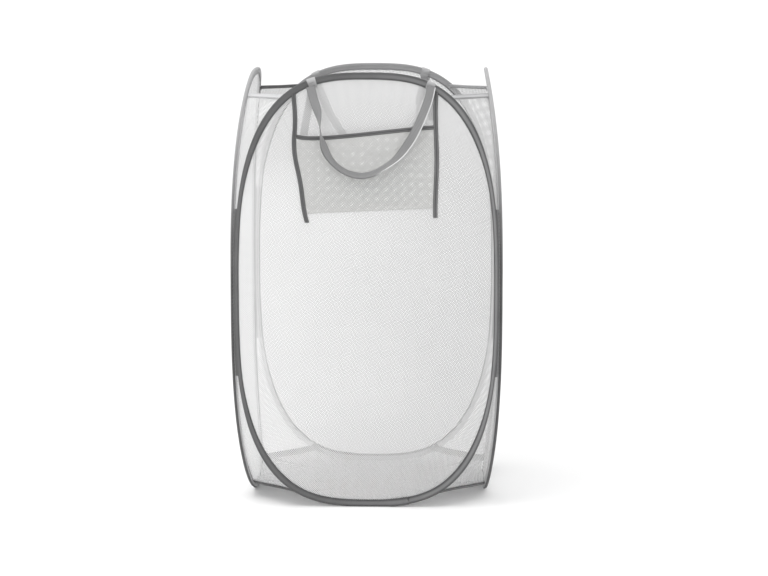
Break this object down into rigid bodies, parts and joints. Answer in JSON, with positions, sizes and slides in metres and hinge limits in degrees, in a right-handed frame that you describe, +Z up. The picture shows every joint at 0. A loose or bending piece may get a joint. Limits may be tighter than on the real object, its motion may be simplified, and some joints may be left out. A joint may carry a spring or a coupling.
{
  "type": "pop up laundry hamper",
  "caption": "Square folding hamper: sprung wire hoops in sewn tape carry see-through mesh walls, a cloth floor, a front pocket and webbing handles.",
  "frame": {"origin": "on the surface it stands on, below the middle of the frame", "axes": "+Z up, the front wall with the pocket faces -Y, +X is to the right seen from the front"},
  "size_m": [0.372, 0.386, 0.6],
  "materials": {
    "spring_steel": "drawn spring wire",
    "ferrule_steel": "zinc plated, crimped",
    "grey_tape": "woven polyester binding tape, stitched",
    "white_mesh": "open knitted polyester mesh, see-through",
    "grey_webbing": "flat woven polypropylene webbing"
  },
  "bodies": {
    "front_side": {"front_hoop_wire": "spring_steel", "front_hoop_ferrule": "ferrule_steel", "front_hoop_tape": "grey_tape", "front_mesh_wall": "white_mesh", "pocket_left_tape": "grey_tape", "pocket_right_tape": "grey_tape", "pocket_panel": "white_mesh", "pocket_hem": "grey_tape", "front_handle_tail_anchor": "grey_webbing", "front_handle_anchor": "grey_webbing", "front_left_upper_gusset": "white_mesh", "front_left_lower_gusset": "white_mesh", "front_left_rim_tape": "grey_tape", "front_left_floor_tape": "grey_tape", "front_right_upper_gusset": "white_mesh", "front_right_lower_gusset": "white_mesh", "front_right_rim_tape": "grey_tape", "front_right_floor_tape": "grey_tape", "front_left_corner_seam": "grey_tape", "front_right_corner_seam": "grey_tape", "floor_panel": "white_mesh"},
    "left_side": {"left_hoop_wire": "spring_steel", "left_hoop_ferrule": "ferrule_steel", "left_hoop_tape": "grey_tape", "left_mesh_wall": "white_mesh", "rear_left_upper_gusset": "white_mesh", "rear_left_lower_gusset": "white_mesh", "rear_left_rim_tape": "grey_tape", "rear_left_floor_tape": "grey_tape", "rear_left_corner_seam": "grey_tape"},
    "right_side": {"right_hoop_wire": "spring_steel", "right_hoop_ferrule": "ferrule_steel", "right_hoop_tape": "grey_tape", "right_mesh_wall": "white_mesh"},
    "rear_side": {"rear_hoop_wire": "spring_steel", "rear_hoop_ferrule": "ferrule_steel", "rear_hoop_tape": "grey_tape", "rear_mesh_wall": "white_mesh", "rear_handle_tail_anchor": "grey_webbing", "rear_handle_anchor": "grey_webbing"},
    "rear_right_seam": {"rear_right_corner_seam": "grey_tape", "rear_right_upper_gusset": "white_mesh", "rear_right_lower_gusset": "white_mesh", "rear_right_rim_tape": "grey_tape", "rear_right_floor_tape": "grey_tape"},
    "front_loop": {"front_handle": "grey_webbing"},
    "rear_loop": {"rear_handle": "grey_webbing"}
  },
  "joints": [
    {"name": "left_fold", "type": "hinge", "parent": "front_side", "child": "left_side", "pos_m": [-0.18025, -0.18025, 0.3], "axis": [0, 0, 1], "range_deg": [-58, 58], "stiffness_Nm_per_rad": 0.3, "deforming": ["front_left_upper_gusset", "front_left_lower_gusset", "front_left_rim_tape", "front_left_floor_tape", "floor_panel"]},
    {"name": "right_fold", "type": "hinge", "parent": "front_side", "child": "right_side", "pos_m": [0.18025, -0.18025, 0.3], "axis": [0, 0, 1], "range_deg": [-58, 58], "deforming": ["front_right_upper_gusset", "front_right_lower_gusset", "front_right_rim_tape", "front_right_floor_tape"]},
    {"name": "rear_fold", "type": "hinge", "parent": "left_side", "child": "rear_side", "pos_m": [-0.18025, 0.18025, 0.3], "axis": [0, 0, 1], "range_deg": [-58, 58], "deforming": ["rear_left_upper_gusset", "rear_left_lower_gusset", "rear_left_rim_tape", "rear_left_floor_tape"]},
    {"name": "seam_fold", "type": "hinge", "parent": "right_side", "child": "rear_right_seam", "pos_m": [0.18025, 0.18025, 0.3], "axis": [0, 0, 1], "range_deg": [-58, 58], "deforming": ["rear_right_upper_gusset", "rear_right_lower_gusset", "rear_right_rim_tape", "rear_right_floor_tape"]},
    {"name": "front_handle_swing", "type": "hinge", "parent": "front_side", "child": "front_loop", "pos_m": [0, -0.1717, 0.5811], "axis": [-1, 0, 0], "range_deg": [0, 170]},
    {"name": "rear_handle_swing", "type": "hinge", "parent": "rear_side", "child": "rear_loop", "pos_m": [0, 0.1717, 0.5811], "axis": [1, 0, 0], "range_deg": [0, 170]}
  ],
  "couplings": [
    {"joint": "right_fold", "follows": "left_fold", "ratio": 1},
    {"joint": "rear_fold", "follows": "left_fold", "ratio": -1},
    {"joint": "seam_fold", "follows": "left_fold", "ratio": -1}
  ]
}
